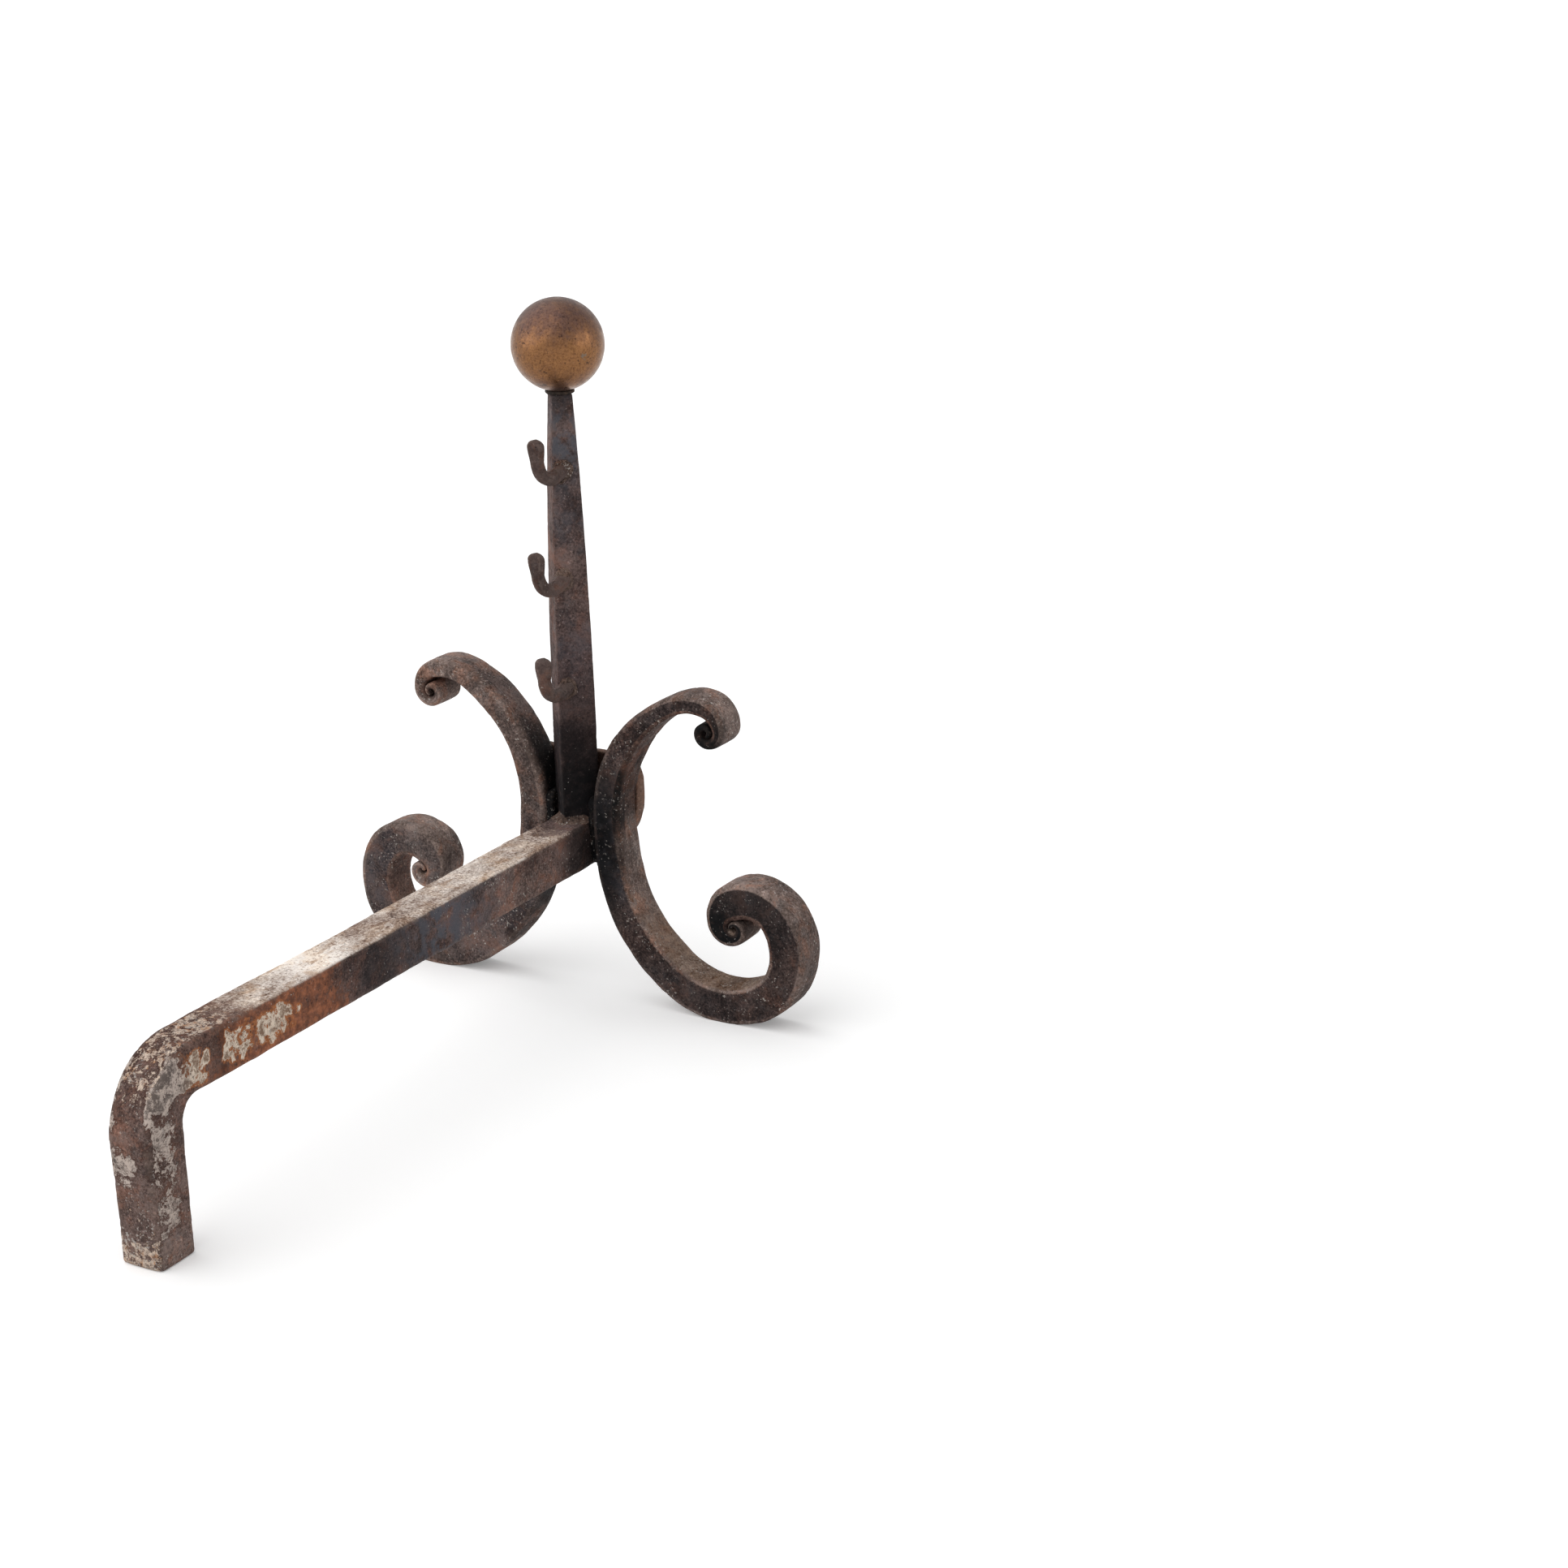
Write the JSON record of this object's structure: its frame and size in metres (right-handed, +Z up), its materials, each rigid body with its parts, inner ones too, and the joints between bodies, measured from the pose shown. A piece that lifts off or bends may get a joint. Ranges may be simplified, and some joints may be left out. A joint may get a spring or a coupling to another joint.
{
  "type": "andiron",
  "caption": "Forged andiron: bent log bar on a rear leg, scrolled front feet, tapered upright with spit hooks and a brass ball on top.",
  "frame": {"origin": "on the hearth under the middle of the two scrolls, halfway between the two front feet", "axes": "+Z up, +Y back along the log bar to the rear leg, +X to the right of someone who faces the front; the front faces -Y"},
  "size_m": [0.3766, 0.5127, 0.5001],
  "materials": {
    "bar_iron": "aged, ash-dusted and rusted forged iron",
    "upright_iron": "dark pitted forged iron",
    "scroll_iron": "dark pitted forged iron with worn edges",
    "hook_iron": "worn forged iron",
    "boss_iron": "forged iron with light rust",
    "weld_iron": "rough weld bead, dusty",
    "washer_iron": "dark ragged iron washer",
    "stud_iron": "plain iron stud",
    "ball_brass": "aged, unpolished, pitted brass"
  },
  "bodies": {
    "root": {"log_bar": "bar_iron", "upright": "upright_iron", "left_scroll": "scroll_iron", "right_scroll": "scroll_iron", "front_boss": "boss_iron", "bottom_hook": "hook_iron", "middle_hook": "hook_iron", "top_hook": "hook_iron", "hook_welds": "weld_iron", "junction_welds": "weld_iron", "upright_weld": "weld_iron", "ball_washer": "washer_iron", "ball_stud": "stud_iron", "ball_finial": "ball_brass"}
  },
  "joints": []
}
